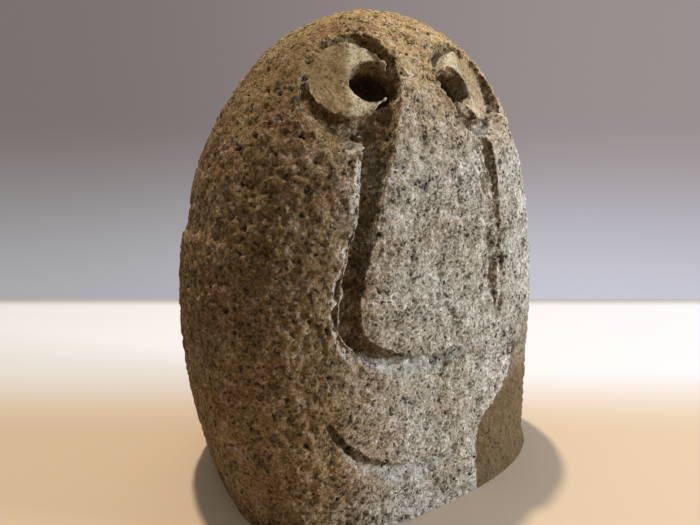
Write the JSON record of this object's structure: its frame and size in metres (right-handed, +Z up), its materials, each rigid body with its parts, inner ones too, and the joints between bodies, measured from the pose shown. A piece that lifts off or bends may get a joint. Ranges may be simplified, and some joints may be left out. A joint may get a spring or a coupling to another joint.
{
  "type": "tiki figure",
  "caption": "Domed lump of porous volcanic stone with a flat base and a carved face: disc eyes in hollows with drilled pupils, a long nose between grooves and a curved mouth.",
  "frame": {"origin": "on the flat sawn base, under the middle of the nose", "axes": "+Z up, the face looks along -Y, and the viewer's left is -X"},
  "size_m": [0.2167, 0.1571, 0.26],
  "materials": {
    "stone": "rough weathered vesicular volcanic stone, dressed by chisel; the eye discs are sawn flat and rubbed"
  },
  "bodies": {
    "root": {"carved_stone": "stone"}
  },
  "joints": []
}
